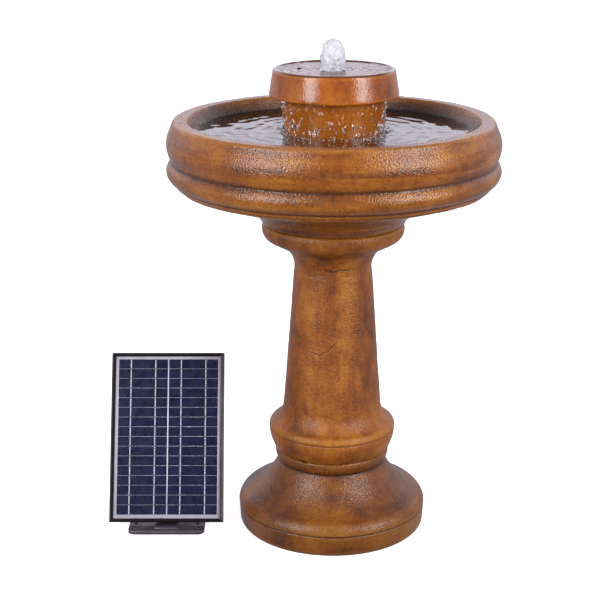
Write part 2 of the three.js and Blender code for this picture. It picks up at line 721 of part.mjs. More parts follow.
function addStand(root) {
  const stand = new THREE.Group();
  stand.position.x = PANEL_X;
  root.add(stand);
  addPart(stand, 'stand_foot', join(makeFootPlate(), makeLug()), BLACK_PLASTIC);
  const hinge = new THREE.Group();
  hinge.position.set(0, HINGE_Y, HINGE_Z);
  stand.add(hinge);
  addPart(hinge, 'hinge_bolt', makeHingeBolt(), STEEL);
  const washer = [EAR_OUT + GAP, EAR_OUT + 1.8];
  addPart(hinge, 'washer_right', layAlongX(tube(HINGE_R + 0.4, 6.5, washer[0], washer[1], 16)), STEEL);
  addPart(hinge, 'washer_left', layAlongX(tube(HINGE_R + 0.4, 6.5, -washer[1], -washer[0], 16)), STEEL);
  addPart(hinge, 'wing_nut', makeWingNut(), STEEL);
}

// ---- the whole set -------------------------------------------------------------------------------------

function addBath(root) {
  const bath = new THREE.Group();
  bath.position.x = BATH_X;
  root.add(bath);
  addPart(bath, 'base_casting', makeBase(), STONE);
  addPart(bath, 'column_casting', makeColumn(), STONE);
  addPart(bath, 'bowl_casting', makeBowl(), STONE);
  addPart(bath, 'cable_stopper', makeStopper(), BLACK_RUBBER);
  addHead(bath);
  addPump(bath);
}

function addPanel(root) {
  const panel = new THREE.Group();
  panel.position.set(PANEL_X, PANEL_Y, PANEL_Z);
  panel.rotation.x = -LEAN;
  root.add(panel);
  addFrame(panel);
  addLaminate(panel);
  addJunctionBox(panel);
  addTiltBracket(panel);
}

const birdBath = new THREE.Group();
addBath(birdBath);
addPanel(birdBath);
addStand(birdBath);
export default birdBath;
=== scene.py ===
import json
import math

import bmesh
import bpy
import numpy as np
from mathutils import Matrix, Vector


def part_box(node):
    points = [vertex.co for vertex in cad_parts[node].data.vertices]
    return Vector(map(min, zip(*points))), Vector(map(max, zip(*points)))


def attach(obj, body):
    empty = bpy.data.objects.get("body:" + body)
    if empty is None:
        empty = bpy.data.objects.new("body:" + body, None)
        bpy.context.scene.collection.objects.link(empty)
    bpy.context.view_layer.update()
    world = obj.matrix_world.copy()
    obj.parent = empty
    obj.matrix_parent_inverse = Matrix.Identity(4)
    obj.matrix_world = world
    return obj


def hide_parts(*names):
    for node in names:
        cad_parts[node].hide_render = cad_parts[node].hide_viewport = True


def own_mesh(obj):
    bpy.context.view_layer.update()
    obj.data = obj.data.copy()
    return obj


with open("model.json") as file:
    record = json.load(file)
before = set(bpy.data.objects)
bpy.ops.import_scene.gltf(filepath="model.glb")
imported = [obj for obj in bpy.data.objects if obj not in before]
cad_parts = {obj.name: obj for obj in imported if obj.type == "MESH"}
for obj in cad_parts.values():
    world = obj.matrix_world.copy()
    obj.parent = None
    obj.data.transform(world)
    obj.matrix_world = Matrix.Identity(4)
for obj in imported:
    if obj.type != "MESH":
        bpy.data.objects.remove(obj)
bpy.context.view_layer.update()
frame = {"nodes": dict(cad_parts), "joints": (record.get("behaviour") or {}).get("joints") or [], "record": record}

MM = 0.001

BOWL_LOW, BOWL_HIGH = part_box("bowl_casting")
AXIS_X = (BOWL_LOW.x + BOWL_HIGH.x) / 2  # the bath's axis stands at this X, and at Y = 0
AXIS = (AXIS_X, 0, 0)
FRONT = -90.0  # degrees round the axis, of the side that faces -Y

# ---- noise ----


def lattice(cells, seed):
    """Repeatable random values from -1 to 1 at whole-number places."""
    x, y, z = (cells[..., k].astype(np.int64) for k in range(3))
    mixed = (x * 73856093) ^ (y * 19349663) ^ (z * 83492791) ^ (seed * 15485863)
    mixed = (mixed ^ (mixed >> 13)) * 1274126177 & 0xFFFFFFFF
    mixed = mixed ^ (mixed >> 15)
    return (mixed & 0xFFFF) / 32767.5 - 1


def noise(points, cell, seed):
    """Smooth noise from -1 to 1 with features about one cell across."""
    place = points / cell
    base = np.floor(place)
    part = place - base
    part = part * part * (3 - 2 * part)
    total = 0
    for corner in np.ndindex(2, 2, 2):
        step = np.array(corner)
        weight = np.prod(np.where(step, part, 1 - part), axis=-1)
        total = total + weight * lattice(base + step, seed)
    return total


# ---- outlines ----

FINE = 0.5  # spacing of an outline before it is thinned, mm
HOLLOW_WIDTH = 2.2  # how far a hollow corner's painted shade, and a convex edge's worn lightening, reach over the stone beside it, mm
HOLLOW_GAIN = 7.0  # painted shade for each radian of inward turn per mm; outward turns lighten worn edges alike
SMALL_TURN = math.radians(8)  # turn between two kept points of an outline
SEAM_ROUNDING = 0.9  # rounding of a casting's corners, mm
HEAD_ROUNDING = 1.1


def arc(outline, r, z, rise):
    """Carries an outline on to (r, z) by a circular arc that stands rise proud of the straight way."""
    r0, z0 = outline[-1]
    chord = math.hypot(r - r0, z - z0)
    along = ((r - r0) / chord, (z - z0) / chord)
    half_turn = 2 * math.atan(abs(rise) / (chord / 2))
    radius = chord / 2 / math.sin(half_turn)
    steps = max(4, round(2 * half_turn * radius / FINE))
    for i in range(1, steps + 1):
        turn = half_turn * (2 * i / steps - 1)
        forward = chord / 2 + radius * math.sin(turn)
        proud = math.copysign(radius * math.cos(turn) - radius + abs(rise), rise)
        outline.append((r0 + along[0] * forward + along[1] * proud,
                        z0 + along[1] * forward - along[0] * proud))


def evenly(outline):
    """The closed outline again, with a point every FINE millimetres."""
    loop = np.array(outline + outline[:1], float)
    run = np.concatenate([[0], np.cumsum(np.hypot(*np.diff(loop, axis=0).T))])
    places = np.linspace(0, run[-1], round(run[-1] / FINE), endpoint=False)
    return np.stack([np.interp(places, run, loop[:, k]) for k in range(2)], 1)


def spread(values, width):
    """A closed row of values, smoothed over about width millimetres."""
    reach = int(4 * width / FINE)
    weights = np.exp(-0.5 * (np.arange(-reach, reach + 1) * FINE / width) ** 2)
    weights /= weights.sum()
    padded = np.concatenate([values[-reach:], values, values[:reach]])
    return np.convolve(padded, weights, "valid")


def thin(outline, rounding, longest):
    """Rounds an outline's corners and keeps a point at each small turn, or after the longest step.
    Gives r, z, the outward direction and how hollow the surface is there, from -1 to 1."""
    loop = evenly(outline)
    loop = np.stack([spread(loop[:, k], rounding) for k in range(2)], 1)
    ahead = np.roll(loop, -1, 0) - loop
    heading = np.arctan2(ahead[:, 1], ahead[:, 0])
    turn = (heading - np.roll(heading, 1) + math.pi) % (2 * math.pi) - math.pi
    hollow = np.clip(-spread(turn, HOLLOW_WIDTH) / FINE * HOLLOW_GAIN, -1, 1)
    kept = []
    turned = math.inf
    gone = math.inf
    for i in range(len(loop)):
        turned += abs(turn[i])
        gone += FINE
        if turned > SMALL_TURN or gone >= longest(loop[i]):
            kept.append(i)
            turned = 0.0
            gone = 0.0
    middle = (loop - np.roll(loop, 1, 0) + ahead)[kept]
    middle /= np.linalg.norm(middle, axis=1, keepdims=True)
    outward = np.stack([middle[:, 1], -middle[:, 0]], 1)
    return loop[kept], outward, hollow[kept]


def base_outline():
    line = [(118, 0), (143.6, 0)]
    arc(line, 147.6, 9, 1.3)
    line += [(148.7, 24), (148.9, 31.4), (147.2, 33), (149.5, 34.6)]
    arc(line, 139.3, 51.4, 2.6)
    arc(line, 85.7, 106.5, -7.8)
    line += [(84.6, 108)]
    arc(line, 89.4, 126.8, 2.6)
    line += [(87.6, 128), (69, 128), (68, 138), (56, 138), (62, 100)]
    arc(line, 114, 44, 6)
    line += [(118, 26)]
    return line


def column_outline():
    line = [(71, 128.3), (88.4, 128.3), (90.9, 130.4)]
    arc(line, 99.2, 156, 1.2)
    line += [(99.3, 159.8), (97.9, 161), (99.4, 162.4)]
    arc(line, 92.5, 173.4, 2.5)
    arc(line, 76.6, 202, -4)
    line += [(75.2, 221), (60.6, 416)]
    arc(line, 74, 455, -6)
    line += [(97.5, 467.4)]
    arc(line, 108.4, 492.8, 5.6)
    line += [(107, 494), (62, 494), (62, 476), (40, 476), (40, 430), (52, 200), (71, 144)]
    return line


def bowl_outline():
    line = [(46, 480), (60, 480), (60, 494.5), (107.3, 494.5), (110.2, 496.4)]
    arc(line, 122.7, 511.6, -1.2)
    line += [(141, 521.6), (167, 531.8), (231, 551.4), (234.6, 552.4), (235.6, 555.6), (239.8, 556.8)]
    line += [(240.6, 562.0), (244.4, 563.2)]
    arc(line, 248.4, 589.6, 6.2)
    line += [(246.2, 592.6), (246.4, 596)]
    arc(line, 248.6, 634.8, 4.6)
    line += [(244.2, 644.2), (242.6, 649.2)]
    arc(line, 237, 653.5, 1.2)
    line += [(222.5, 653.5), (220.4, 652.2), (206.5, 626)]
    arc(line, 164, 558, -13)
    line += [(8, 558), (8, 534), (46, 534)]
    return line


HEAD_FOOT = (72.3, 559.7)  # the ends of the straight side under the head's band
HEAD_SHOULDER = (78, 686)


def head_outline():
    line = [(57, 558.3), (71, 558.3), HEAD_FOOT, HEAD_SHOULDER, (79, 687.8), (95.6, 687.8)]
    arc(line, 97.2, 690.6, 0.6)
    line += [(92.2, 722.6)]
    arc(line, 88.6, 729, 1.2)
    line += [(85.2, 729), (80.6, 718.4), (78, 716), (10, 716), (10, 700), (60, 700), (62.5, 696)]
    return line


# ---- meshes ----


def new_object(name, data):
    piece = bpy.data.objects.new(name, data)
    bpy.context.scene.collection.objects.link(piece)
    return piece


def add_mesh(name, points, faces, materials, centre=(0, 0, 0)):
    """A smooth mesh from points in millimetres about centre, which is in metres."""
    mesh = bpy.data.meshes.new(name)
    places = np.asarray(points, float).reshape(-1, 3) * MM + np.array(centre)
    mesh.from_pydata(places.tolist(), [], [list(map(int, face)) for face in faces])
    for material in materials:
        mesh.materials.append(material)
    mesh.polygons.foreach_set("use_smooth", [True] * len(mesh.polygons))
    mesh.update()
    return new_object(name, mesh)


def grid_faces(rows, columns, close_rows=True):
    """Four-sided faces over a grid of points numbered row by row, whose columns close on themselves."""
    i, j = np.meshgrid(np.arange(rows if close_rows else rows - 1), np.arange(columns), indexing="ij")
    i2 = (i + 1) % rows
    j2 = (j + 1) % columns
    corners = [i * columns + j, i2 * columns + j, i2 * columns + j2, i * columns + j2]
    return np.stack(corners, -1).reshape(-1, 4)


def set_attribute(piece, name, values):
    layer = piece.data.attributes.new(name, "FLOAT", "POINT")
    layer.data.foreach_set("value", np.asarray(values, np.float32).ravel())


def finish_piece(piece, body, slot, *nodes):
    """Says which body a piece rides, and hides the CAD nodes it stands for. Its slot is not used."""
    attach(piece, body)
    if nodes:
        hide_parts(*nodes)


def dry(points):
    """No point is wet or painted in shade."""
    return np.zeros(points.shape[:2])


def turn_outline(name, outline, angles, relief, material, rounding, longest, soaked_and_shaded=dry):
    """Revolves a closed outline, pushes its surface in and out by relief, and notes at each point its painted
    shade in hollows, chips and cracks, the lightening of its worn edges and any painted highlight, and how wet it
    is, a mask that also paints shade."""
    loop, outward, hollow = thin(outline, rounding, longest)
    cos = np.cos(angles)[:, None]
    sin = np.sin(angles)[:, None]
    r, z = loop[:, 0], loop[:, 1]
    points = np.stack([cos * r, sin * r, np.broadcast_to(z, (len(angles), len(z)))], -1)
    normals = np.stack([cos * outward[:, 0], sin * outward[:, 0],
                        np.broadcast_to(outward[:, 1], (len(angles), len(z)))], -1)
    # relief also gives painted shade for chips and cracks, and below zero a painted highlight.
    push, dark = relief(points, angles)
    moved = points + normals * push[..., None]
    piece = add_mesh(name, moved, grid_faces(len(angles), len(z)), [material], AXIS)
    # Over zero: painted shade in hollows, chips and cracks. Under zero: worn edges and painted highlight, made
    # lighter.
    set_attribute(piece, "painted_light_and_wear", np.clip(hollow[None, :] + dark, -1, 1))
    # The wet mask, which also paints shade on the basin's inner wall and the head's lip.
    set_attribute(piece, "soaked_and_shaded", soaked_and_shaded(points))
    return piece


def even_angles(steps):
    return np.arange(steps) * 2 * math.pi / steps


def crowded_angles(low, high, close, wide):
    """Angles all the way round, close together between low and high degrees and wide apart elsewhere."""
    inside = np.arange(low, high, close)
    outside = np.linspace(high, low + 360, round((low + 360 - high) / wide), endpoint=False)
    return np.radians(np.concatenate([inside, outside]))


def apply_modifiers(piece):
    depsgraph = bpy.context.evaluated_depsgraph_get()
    mesh = bpy.data.meshes.new_from_object(piece.evaluated_get(depsgraph))
    piece.modifiers.clear()
    piece.data = mesh


def carve(piece, *cutters):
    """Cuts each cutter's shape out of a piece, and removes the cutter."""
    for cutter in cutters:
        modifier = piece.modifiers.new("cut", "BOOLEAN")
        modifier.operation = "DIFFERENCE"
        modifier.solver = "EXACT"
        modifier.object = cutter
        apply_modifiers(piece)
        bpy.data.objects.remove(cutter)


def slab(x, y, z):
    """Points and faces of a box from three pairs of limits in millimetres."""
    points = np.array([(i, j, k) for i in x for j in y for k in z], float)
    faces = [[0, 1, 3, 2], [4, 6, 7, 5], [0, 4, 5, 1], [2, 3, 7, 6], [0, 2, 6, 4], [1, 5, 7, 3]]
    return points, faces


def block(name, x, y, z, materials=(), centre=(0, 0, 0)):
    """A box as an object of its own."""
    return add_mesh(name, *slab(x, y, z), materials, centre)


def gather(name, parts, material, centre=AXIS):
    """One object from many small parts, each given as points and faces."""
    points = []
    faces = []
    start = 0
    for part_points, part_faces in parts:
        points.append(part_points)
        faces.extend([[index + start for index in face] for face in part_faces])
        start += len(part_points)
    return add_mesh(name, np.concatenate(points), faces, [material], centre)


# ---- material tools ----


class Shader:
    """A material with one Principled shader, and short calls for the nodes that feed it."""

    def __init__(self, name, **numbers):
        self.material = bpy.data.materials.new(name)
        self.material.use_nodes = True
        self.tree = self.material.node_tree
        self.shader = self.tree.nodes["Principled BSDF"]
        for socket, value in numbers.items():
            self.shader.inputs[socket.replace("_", " ")].default_value = value
        self.coordinates = self.tree.nodes.new("ShaderNodeTexCoord").outputs["Object"]

    def feed(self, socket, value):
        if isinstance(value, bpy.types.NodeSocket):
            self.tree.links.new(value, socket)
        else:
            socket.default_value = value

    def add(self, kind, settings=None, **inputs):
        node = self.tree.nodes.new(kind)
        for key, value in (settings or {}).items():
            setattr(node, key, value)
        for key, value in inputs.items():
            self.feed(node.inputs[key.replace("_", " ")], value)
        return node

    def stretched(self, x, y, z):
        node = self.add("ShaderNodeMapping", Vector=self.coordinates)
        node.inputs["Scale"].default_value = (x, y, z)
        return node.outputs["Vector"]

    def noise(self, scale, detail=4.0, roughness=0.55, distortion=0.0, vector=None):
        node = self.add("ShaderNodeTexNoise", Scale=scale, Detail=detail, Roughness=roughness,
                        Distortion=distortion, Vector=vector or self.coordinates)
        return node.outputs["Fac"]

    def cells(self, scale, feature="F1", output="Distance"):
        node = self.add("ShaderNodeTexVoronoi", {"feature": feature}, Scale=scale,
                        Vector=self.coordinates)
        return node.outputs[output]

    def math(self, operation, a, b):
        node = self.add("ShaderNodeMath", {"operation": operation})
        self.feed(node.inputs[0], a)
        self.feed(node.inputs[1], b)
        return node.outputs[0]

    def weighed(self, total, *terms):
        """Adds terms, each given as (value, weight), to a total."""
        for value, weight in terms:
            total = self.math("ADD", total, self.math("MULTIPLY", value, weight))
        return total

    def scale_to(self, value, low, high, new_low, new_high):
        node = self.add("ShaderNodeMapRange", {"clamp": True}, Value=value, From_Min=low, From_Max=high,
                        To_Min=new_low, To_Max=new_high)
        return node.outputs["Result"]

    def ramp(self, value, *stops):
        node = self.add("ShaderNodeValToRGB", Fac=value)
        ramp = node.color_ramp
        while len(ramp.elements) < len(stops):
            ramp.elements.new(0.5)
        for element, (place, colour) in zip(ramp.elements, stops):
            element.position = place
            element.color = (*colour, 1)
        return node.outputs["Color"]

    def mix(self, share, a, b):
        node = self.add("ShaderNodeMix", {"data_type": "RGBA"})
        self.feed(node.inputs["Factor"], share)
        self.feed(node.inputs["A"], a)
        self.feed(node.inputs["B"], (*b, 1))
        return node.outputs["Result"]

    def attribute(self, name):
        return self.add("ShaderNodeAttribute", {"attribute_name": name}).outputs["Fac"]

    def bump(self, height, strength, distance):
        """Roughens both the surface and the coat over it."""
        node = self.add("ShaderNodeBump", Height=height, Strength=strength, Distance=distance)
        self.tree.links.new(node.outputs["Normal"], self.shader.inputs["Normal"])
        self.tree.links.new(node.outputs["Normal"], self.shader.inputs["Coat Normal"])

    def out(self, **sockets):
        """Feeds the shader's last sockets, and gives the material."""
        for socket, value in sockets.items():
            self.feed(self.shader.inputs[socket.replace("_", " ")], value)
        return self.material


UMBER = (0.030, 0.010, 0.004)
BROWN = (0.095, 0.028, 0.0055)
SIENNA = (0.178, 0.048, 0.0055)
HONEY = (0.245, 0.080, 0.0085)
AMBER = (0.325, 0.128, 0.0115)
STAIN = (UMBER, BROWN, SIENNA, HONEY, AMBER)
STAIN_STOPS = (0.35, 0.425, 0.49, 0.555, 0.64)  # the tones at which the stain has these colours
DARK_STAIN = tuple(tuple(0.72 * part for part in colour) for colour in STAIN)
BRIGHT_STAIN = ((0.056, 0.018, 0.0045), *(tuple(1.12 * part for part in colour) for colour in STAIN[1:]))
WET_STAIN = ((0.040, 0.009, 0.003), (0.150, 0.036, 0.005), (0.240, 0.058, 0.0065),
             (0.300, 0.085, 0.008), (0.410, 0.122, 0.010))
SOAKED_AND_SHADED = (0.026, 0.010, 0.0050)  # wet stone under and by the water; on the basin's inner wall and the head's lip it is also painted shade


def stone(name, streak, shine, grit, wetness=0.0, colours=STAIN):
    """Cast stone stained in layers and sealed with a soft gloss: streaked and mottled, with painted shade in its
    hollows, chips and cracks, lighter on its worn edges and where a painted highlight is laid, and darkest where
    it is wet and painted in shade."""
    s = Shader(name, Coat_Weight=0.18 + 0.4 * wetness, Coat_Roughness=0.22 - 0.14 * wetness,
               Specular_IOR_Level=0.28)
    streaks = s.noise(1.0, 5.0, 0.62, 0.3, s.stretched(*streak))
    mottle = s.noise(13.0, 5.0, 0.6, 0.4)
    grain = s.noise(210.0, 5.0, 0.65)
    blots = s.noise(52.0, 4.0, 0.65, 0.6)
    tone = s.weighed(s.math("MULTIPLY", streaks, 0.42), (mottle, 0.30), (blots, 0.16), (grain, 0.12))
    darkest, brightest = colours[0], colours[-1]
    colour = s.ramp(tone, *zip(STAIN_STOPS, colours))
    painted_light_and_wear = s.attribute("painted_light_and_wear")
    # Painted shade: hollows, chips and cracks darken towards the darkest stain.
    colour = s.mix(s.scale_to(painted_light_and_wear, 0.2, 0.9, 0.0, 0.8), colour, darkest)
    # Worn convex edges lighten, and so does the painted highlight on the head's body.
    colour = s.mix(s.scale_to(painted_light_and_wear, -0.9, -0.15, 0.4, 0.0), colour, brightest)
    specks = s.scale_to(s.noise(330.0, 2.0, 0.5), 0.27, 0.36, 0.65, 0.0)
    colour = s.mix(specks, colour, darkest)
    soaked_and_shaded = s.attribute("soaked_and_shaded")
    # Wet stone, which is also painted shade on the basin's inner wall and the head's lip.
    colour = s.mix(s.math("MULTIPLY", soaked_and_shaded, 0.9), colour, SOAKED_AND_SHADED)
    height = s.weighed(grain, (s.cells(340.0), -0.9), (s.noise(60.0, 3.0), 0.15), (streaks, 0.06))
    s.bump(height, grit, 0.0012)
    rough = s.scale_to(grain, 0.3, 0.7, shine - 0.08, shine + 0.12)
    rough = s.math("SUBTRACT", rough, s.math("MULTIPLY", soaked_and_shaded, 0.18))
    return s.out(Base_Color=colour, Roughness=rough)


def plastic():
    s = Shader("moulded_plastic", Specular_IOR_Level=0.5)
    tone = s.noise(420.0, 3.0)
    patches = s.noise(18.0, 3.0)
    s.bump(tone, 0.25, 0.0002)
    return s.out(Base_Color=s.ramp(patches, (0.35, (0.030, 0.024, 0.032)), (0.7, (0.058, 0.050, 0.062))),
                 Roughness=s.scale_to(tone, 0.3, 0.7, 0.36, 0.5))


def mottled(s, patches, dark, light, tone, smoothest, roughest):
    """Finishes a shader whose colour follows its patches and whose roughness follows its tone."""
    return s.out(Base_Color=s.ramp(patches, (0.3, dark), (0.7, light)),
                 Roughness=s.scale_to(tone, 0.3, 0.7, smoothest, roughest))


def rubber():
    s = Shader("black_rubber_skin")
    tone = s.noise(600.0, 3.0)
    s.bump(tone, 0.3, 0.0003)
    return mottled(s, s.noise(40.0), (0.010, 0.010, 0.010), (0.026, 0.025, 0.024), tone, 0.6, 0.8)


def anodised(name, dark, light):
    s = Shader(name, Metallic=0.65)
    brushed = s.noise(1.0, 3.0, 0.6, vector=s.stretched(900.0, 900.0, 60.0))
    s.bump(brushed, 0.12, 0.0002)
    return mottled(s, s.noise(30.0), dark, light, brushed, 0.26, 0.4)


def steel():
    s = Shader("zinc_steel", Metallic=1.0)
    brushed = s.noise(1.0, 3.0, 0.6, vector=s.stretched(60.0, 700.0, 700.0))
    s.bump(brushed, 0.15, 0.0002)
    return mottled(s, s.noise(90.0), (0.42, 0.42, 0.43), (0.6, 0.6, 0.61), brushed, 0.24, 0.42)


def ceramic():
    s = Shader("pale_ceramic", Coat_Weight=0.4, Coat_Roughness=0.15)
    tone = s.noise(120.0)
    return mottled(s, tone, (0.72, 0.7, 0.66), (0.82, 0.8, 0.76), tone, 0.3, 0.45)


def magnet():
    s = Shader("sintered_magnet", Metallic=0.3)
    tone = s.noise(500.0, 4.0)
    s.bump(tone, 0.3, 0.0003)
    return mottled(s, tone, (0.02, 0.02, 0.022), (0.05, 0.05, 0.054), tone, 0.5, 0.7)


def backsheet():
    s = Shader("white_backsheet", Coat_Weight=0.6, Coat_Roughness=0.12)
    tone = s.noise(60.0)
    return mottled(s, tone, (0.47, 0.45, 0.55), (0.54, 0.52, 0.62), tone, 0.4, 0.5)


def solar_cell():
    """Navy silicon under glass, with crystal patches."""
    s = Shader("solar_cell", Coat_Weight=0.6, Coat_Roughness=0.12, Metallic=0.25)
    crystals = s.cells(170.0, output="Color")
    patches = s.noise(22.0, 3.0)
    colour = s.ramp(patches, (0.3, (0.0030, 0.0042, 0.024)), (0.7, (0.0046, 0.0064, 0.036)))
    flake = s.add("ShaderNodeSeparateColor", Color=crystals).outputs["Red"]
    colour = s.mix(s.scale_to(flake, 0.0, 1.0, 0.0, 0.45), colour, (0.007, 0.0100, 0.056))
    return s.out(Base_Color=colour, Roughness=s.scale_to(s.noise(90.0), 0.3, 0.7, 0.22, 0.36))


def busbar():
    s = Shader("silver_busbar", Coat_Weight=0.6, Coat_Roughness=0.12, Metallic=0.6)
    tone = s.noise(300.0)
    return mottled(s, tone, (0.46, 0.46, 0.54), (0.66, 0.66, 0.74), tone, 0.3, 0.45)


def water(name, tint, roughness, ripple, strength):
    s = Shader(name, IOR=1.333, Transmission_Weight=1.0)
    s.bump(s.noise(ripple, 3.0, 0.5, 0.5), strength, 0.001)
    paler = tuple(min(1, 1.04 * part) for part in tint)
    return s.out(Base_Color=s.ramp(s.noise(30.0), (0.3, tint), (0.7, paler)), Roughness=roughness)


def foam():
    """Broken, air-filled water: bright and half clear."""
    s = Shader("jet_foam", IOR=1.333, Transmission_Weight=0.35)
    bubbles = s.cells(420.0, "SMOOTH_F1")
    s.bump(bubbles, 0.5, 0.0008)
    return s.out(Base_Color=s.ramp(bubbles, (0.1, (0.84, 0.84, 0.89)), (0.6, (0.64, 0.65, 0.73))),
                 Roughness=s.scale_to(bubbles, 0.1, 0.6, 0.08, 0.25))


STONE_COLUMN = stone("stained_stone_column", streak=(24.0, 24.0, 4.0), shine=0.40, grit=0.5,
                     colours=BRIGHT_STAIN)
STONE_BOWL = stone("stained_stone_bowl", streak=(5.5, 5.5, 62.0), shine=0.25, grit=0.46, wetness=0.45)
STONE_BASE = stone("stained_stone_base", streak=(9.0, 9.0, 22.0), shine=0.40, grit=0.45, wetness=0.3,
                   colours=DARK_STAIN)
STONE_HEAD = stone("wet_stone_head", streak=(22.0, 22.0, 9.0), shine=0.25, grit=0.18, wetness=0.8,
                   colours=WET_STAIN)
PLASTIC = plastic()
RUBBER = rubber()
ANODISED = anodised("anodised_frame", (0.007, 0.005, 0.006), (0.015, 0.012, 0.013))
# The right bar's lighter finish is a painted reflection of the bright room beside and behind it.
PAINTED_REFLECTION_ANODISED = anodised("anodised_frame_painted_reflection", (0.075, 0.062, 0.073), (0.105, 0.088, 0.102))
STEEL = steel()
CERAMIC = ceramic()
MAGNET = magnet()
BACKSHEET = backsheet()
SOLAR_CELL = solar_cell()
BUSBAR = busbar()
BASIN_WATER = water("basin_water", tint=(0.80, 0.76, 0.78), roughness=0.03, ripple=45.0, strength=0.1)
DROP_WATER = water("drop_water", tint=(0.98, 0.98, 1.0), roughness=0.02, ripple=90.0, strength=0.1)
FOAM = foam()

# ---- castings ----

CHIP_WIDTH = 5.0  # about half a chip's width, mm
CHIP_HEIGHT = 1.8
CHIP_DARKNESS = 0.3  # painted shade in a chip, for each mm of its depth
# Painted shade in the base's chips, for each mm of depth, and along a crack.
BASE_CHIP_DARKNESS = 0.25
CRACK_DARKNESS = 1.4
# Inside these radii, a casting's surface is out of sight and stays plain.
BASE_PLAIN_R = 82
COLUMN_PLAIN_R = 58
BOWL_PLAIN_R = 109
HEAD_PLAIN_R = 64
FINE_STEP = 3.5  # longest step between points in sight, mm
COARSE_STEP = 10.0  # and between those out of sight


def hand_made(points, seed, amount=1.0):
    """The slow unevenness of a hand-finished casting, in millimetres."""
    slow = 0.42 * noise(points, 70.0, seed) + 0.24 * noise(points, 26.0, seed + 1)
    return amount * (slow + 0.12 * noise(points, 9.0, seed + 2))


def visible_only(points, plain_r):
    """0 inside a radius, 1 outside it, with a short ramp between."""
    radius = np.hypot(points[..., 0], points[..., 1])
    ramp = 4.0
    return np.clip((radius - plain_r) / ramp, 0, 1)


def around(points, angles):
    """Degrees from the front, and height, of each point."""
    degrees = (np.degrees(angles)[:, None] - FRONT + 180) % 360 - 180
    return np.broadcast_to(degrees, points.shape[:2]), points[..., 2]


def dent(points, angles, place, size, depth):
    """A round-bottomed chip: place is (degrees, z), size is half its width and height."""
    degrees, z = around(points, angles)
    radius = np.hypot(points[..., 0], points[..., 1])
    across = np.radians(degrees - place[0]) * radius / size[0]
    up = (z - place[1]) / size[1]
    ragged = 1 + 0.45 * noise(points, 3.5, 71)
    return depth * np.clip(1 - (across ** 2 + up ** 2) * ragged, 0, 1) ** 0.6


def crack(points, angles, route, width, depth):
    """A hairline crack along a route of (degrees, z) points, deepest along its middle line."""
    degrees, z = around(points, angles)
    radius = np.hypot(points[..., 0], points[..., 1])
    wander = 0.5 * noise(points, 5.0, 91)
    nearest = np.full(z.shape, math.inf)
    for (a0, z0), (a1, z1) in zip(route, route[1:]):
        ax = np.radians(degrees - a0) * radius
        bx = np.radians(a1 - a0) * radius
        share = np.clip((ax * bx + (z - z0) * (z1 - z0)) / (bx ** 2 + (z1 - z0) ** 2), 0, 1)
        nearest = np.minimum(nearest, np.hypot(ax - bx * share, z - z0 - (z1 - z0) * share + wander))
    return depth * np.exp(-(nearest / width) ** 2)


def ring_of_chips(points, angles, z, seed, count, depth):
    """Chips scattered round one edge of a casting."""
    random = np.random.default_rng(seed)
    total = 0
    for _ in range(count):
        place = (random.uniform(-180, 180), z + random.uniform(-0.8, 0.8))
        size = (CHIP_WIDTH * random.uniform(0.35, 1.2), CHIP_HEIGHT * random.uniform(0.6, 1.1))
        total = total + dent(points, angles, place, size, depth * random.uniform(0.4, 1.0))
    return total


def chipped_edges(points, angles, *edges):
    """Chips on several edges, each given as (height, seed, number of chips, greatest depth)."""
    return sum(ring_of_chips(points, angles, *edge) for edge in edges)


NOTCH = ((-12, 12), (100, 160), (-2, 14))  # the cord's way out under the base's rear edge


def make_base():
    def relief(points, angles):
        above_ground = points[..., 2] > 1.5
        push = hand_made(points, 11) * visible_only(points, BASE_PLAIN_R) * above_ground
        chips = chipped_edges(points, angles, (33.5, 3, 14, 0.7), (127.4, 4, 16, 0.9))
        chips = chips + dent(points, angles, (-31, 127.6), (7, 1.8), 1.5)
        # Painted shade in the chips.
        return push - chips, chips * BASE_CHIP_DARKNESS

    def longest(point):
        return FINE_STEP if point[0] > BASE_PLAIN_R + 2 and point[1] > 1 else 12.0

    base = turn_outline("base_stone", base_outline(), even_angles(288), relief, STONE_BASE,
                        SEAM_ROUNDING, longest)
    carve(base, block("notch_tool", *NOTCH, centre=AXIS))
    finish_piece(base, "pedestal", "cast_stone", "base_casting")


# Cracks run through points of (degrees from the front, height).
UPPER_CRACK = [(-13, 433.4), (-8.5, 431.4), (-3.5, 429.6), (1.5, 430.6), (8, 432.6), (16, 432.2),
               (27, 432.6)]
LOWER_CRACK = [(-29, 302), (-23, 300.6), (-17.5, 299.4), (-10, 304), (-2.5, 312.5), (1.5, 319)]
CRACKED_HEIGHTS = ((425, 438), (296, 322), (402, 424))  # where cracks and pits need close rings


